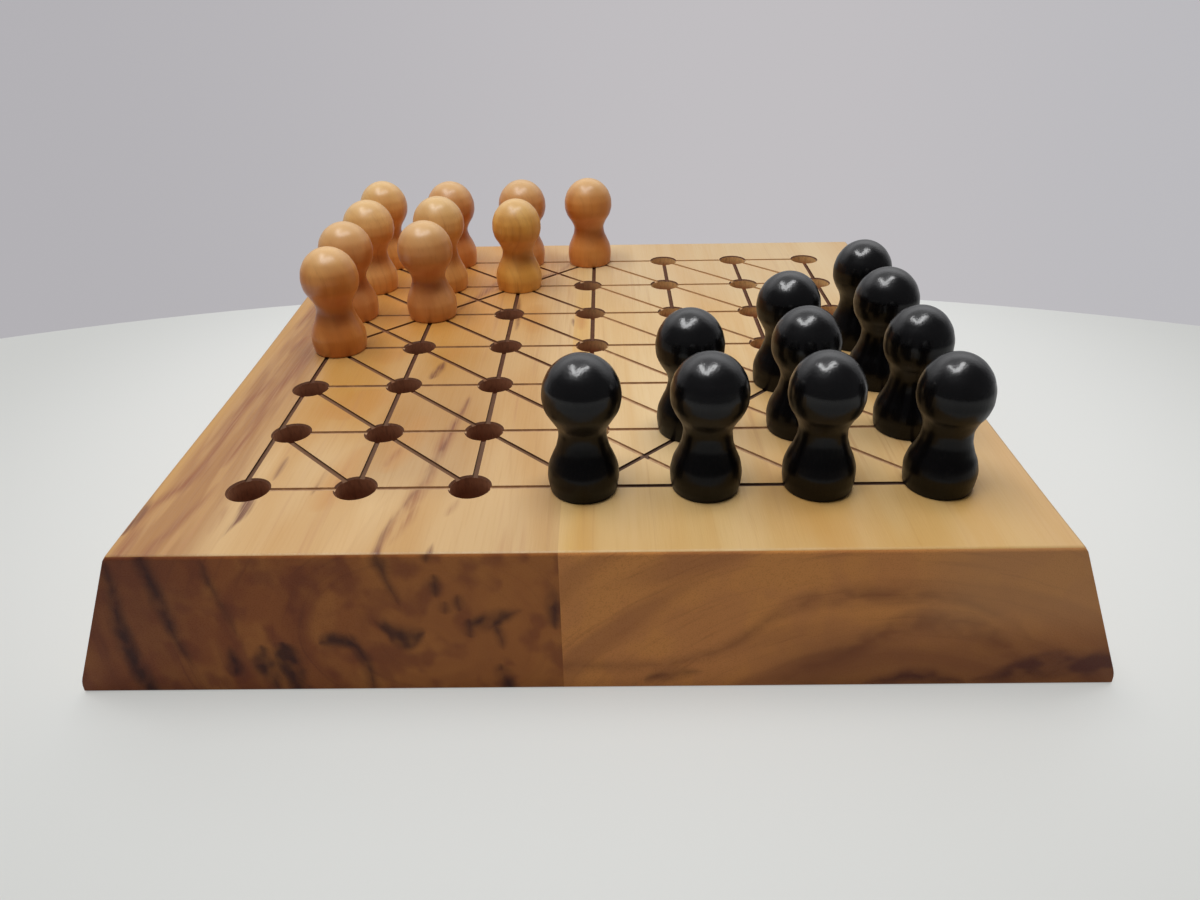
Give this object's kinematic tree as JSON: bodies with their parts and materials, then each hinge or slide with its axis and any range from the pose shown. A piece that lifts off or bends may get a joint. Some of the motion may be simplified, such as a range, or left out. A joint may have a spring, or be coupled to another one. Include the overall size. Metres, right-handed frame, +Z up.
{
  "type": "halma board game",
  "caption": "Wooden peg-board halma game: a glued plank board with drilled holes and scribed lines, and opposing camps of turned pegs that lift out.",
  "frame": {"origin": "middle of the outer box, on the underside", "axes": "+X to the right along the rows, +Y away from the player of the black pegs, +Z up out of the holes"},
  "size_m": [0.176, 0.1552, 0.0532],
  "materials": {
    "left_plank_wood": "sanded and oiled, streaked heartwood",
    "right_plank_wood": "sanded and oiled, pale straight grain",
    "black_lacquer": "turned wood under black gloss lacquer",
    "light_peg_wood": "turned wood under clear satin lacquer"
  },
  "bodies": {
    "board": {"left_plank": "left_plank_wood", "right_plank": "right_plank_wood"},
    "black_peg_1": {"black_peg_1": "black_lacquer"},
    "black_peg_2": {"black_peg_2": "black_lacquer"},
    "black_peg_3": {"black_peg_3": "black_lacquer"},
    "black_peg_4": {"black_peg_4": "black_lacquer"},
    "black_peg_5": {"black_peg_5": "black_lacquer"},
    "black_peg_6": {"black_peg_6": "black_lacquer"},
    "black_peg_7": {"black_peg_7": "black_lacquer"},
    "black_peg_8": {"black_peg_8": "black_lacquer"},
    "black_peg_9": {"black_peg_9": "black_lacquer"},
    "black_peg_10": {"black_peg_10": "black_lacquer"},
    "light_peg_1": {"light_peg_1": "light_peg_wood"},
    "light_peg_2": {"light_peg_2": "light_peg_wood"},
    "light_peg_3": {"light_peg_3": "light_peg_wood"},
    "light_peg_4": {"light_peg_4": "light_peg_wood"},
    "light_peg_5": {"light_peg_5": "light_peg_wood"},
    "light_peg_6": {"light_peg_6": "light_peg_wood"},
    "light_peg_7": {"light_peg_7": "light_peg_wood"},
    "light_peg_8": {"light_peg_8": "light_peg_wood"},
    "light_peg_9": {"light_peg_9": "light_peg_wood"},
    "light_peg_10": {"light_peg_10": "light_peg_wood"}
  },
  "joints": [
    {"name": "black_peg_1_lift", "type": "slide", "parent": "board", "child": "black_peg_1", "axis": [0, 0, 1], "range_m": [0, 0.04]},
    {"name": "black_peg_2_lift", "type": "slide", "parent": "board", "child": "black_peg_2", "axis": [0, 0, 1], "range_m": [0, 0.04]},
    {"name": "black_peg_3_lift", "type": "slide", "parent": "board", "child": "black_peg_3", "axis": [0, 0, 1], "range_m": [0, 0.04]},
    {"name": "black_peg_4_lift", "type": "slide", "parent": "board", "child": "black_peg_4", "axis": [0, 0, 1], "range_m": [0, 0.04]},
    {"name": "black_peg_5_lift", "type": "slide", "parent": "board", "child": "black_peg_5", "axis": [0, 0, 1], "range_m": [0, 0.04]},
    {"name": "black_peg_6_lift", "type": "slide", "parent": "board", "child": "black_peg_6", "axis": [0, 0, 1], "range_m": [0, 0.04]},
    {"name": "black_peg_7_lift", "type": "slide", "parent": "board", "child": "black_peg_7", "axis": [0, 0, 1], "range_m": [0, 0.04]},
    {"name": "black_peg_8_lift", "type": "slide", "parent": "board", "child": "black_peg_8", "axis": [0, 0, 1], "range_m": [0, 0.04]},
    {"name": "black_peg_9_lift", "type": "slide", "parent": "board", "child": "black_peg_9", "axis": [0, 0, 1], "range_m": [0, 0.04]},
    {"name": "black_peg_10_lift", "type": "slide", "parent": "board", "child": "black_peg_10", "axis": [0, 0, 1], "range_m": [0, 0.04]},
    {"name": "light_peg_1_lift", "type": "slide", "parent": "board", "child": "light_peg_1", "axis": [0, 0, 1], "range_m": [0, 0.04]},
    {"name": "light_peg_2_lift", "type": "slide", "parent": "board", "child": "light_peg_2", "axis": [0, 0, 1], "range_m": [0, 0.04]},
    {"name": "light_peg_3_lift", "type": "slide", "parent": "board", "child": "light_peg_3", "axis": [0, 0, 1], "range_m": [0, 0.04]},
    {"name": "light_peg_4_lift", "type": "slide", "parent": "board", "child": "light_peg_4", "axis": [0, 0, 1], "range_m": [0, 0.04]},
    {"name": "light_peg_5_lift", "type": "slide", "parent": "board", "child": "light_peg_5", "axis": [0, 0, 1], "range_m": [0, 0.04]},
    {"name": "light_peg_6_lift", "type": "slide", "parent": "board", "child": "light_peg_6", "axis": [0, 0, 1], "range_m": [0, 0.04]},
    {"name": "light_peg_7_lift", "type": "slide", "parent": "board", "child": "light_peg_7", "axis": [0, 0, 1], "range_m": [0, 0.04]},
    {"name": "light_peg_8_lift", "type": "slide", "parent": "board", "child": "light_peg_8", "axis": [0, 0, 1], "range_m": [0, 0.04]},
    {"name": "light_peg_9_lift", "type": "slide", "parent": "board", "child": "light_peg_9", "axis": [0, 0, 1], "range_m": [0, 0.04]},
    {"name": "light_peg_10_lift", "type": "slide", "parent": "board", "child": "light_peg_10", "axis": [0, 0, 1], "range_m": [0, 0.04]}
  ]
}
